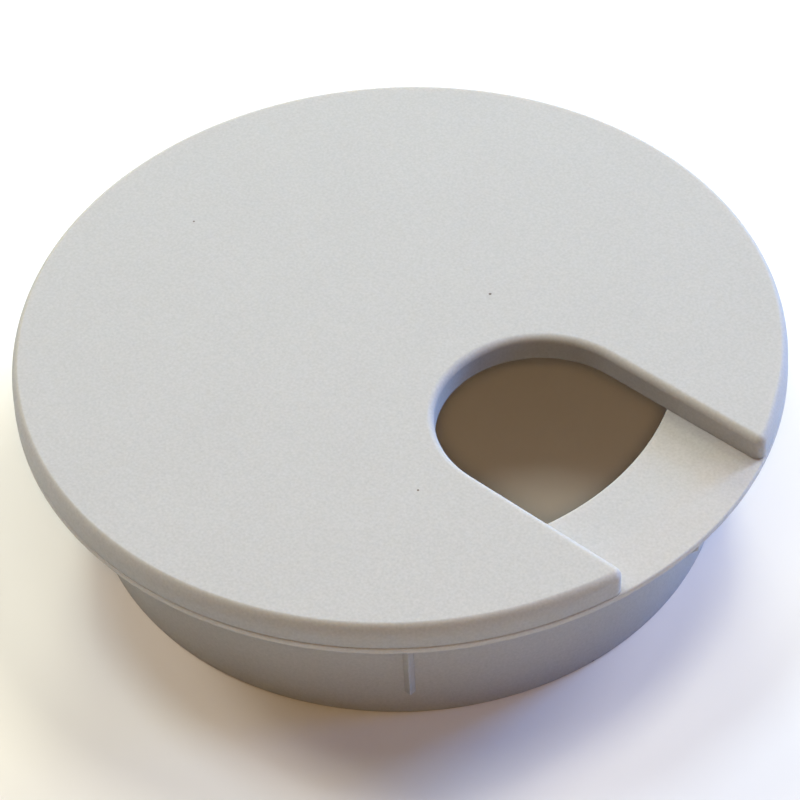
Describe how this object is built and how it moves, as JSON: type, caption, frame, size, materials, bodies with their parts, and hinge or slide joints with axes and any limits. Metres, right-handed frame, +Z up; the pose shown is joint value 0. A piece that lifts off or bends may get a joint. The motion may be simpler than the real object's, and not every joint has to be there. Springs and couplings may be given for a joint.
{
  "type": "desk grommet",
  "caption": "Round desk grommet: a flanged, ribbed liner sleeve for a hole in a desk top, with a flat turning cap that has an open-ended cable slot.",
  "frame": {"origin": "centre of the liner's foot, on the grommet's axis, at the lowest face", "axes": "+Z up along the grommet's axis, out of the desk top; +X from the axis out along the cap's cable slot at rest; +Y completes the right-handed frame"},
  "size_m": [0.09, 0.09, 0.0234],
  "materials": {
    "liner_plastic": "light grey moulded plastic, fine matte grain",
    "cap_plastic": "light grey moulded plastic, fine matte grain"
  },
  "bodies": {
    "liner": {"liner": "liner_plastic"},
    "cap": {"cap": "cap_plastic"}
  },
  "joints": [
    {"name": "cap_turn", "type": "hinge", "parent": "liner", "child": "cap", "pos_m": [0, 0, 0.02], "axis": [0, 0, 1], "continuous": true}
  ]
}
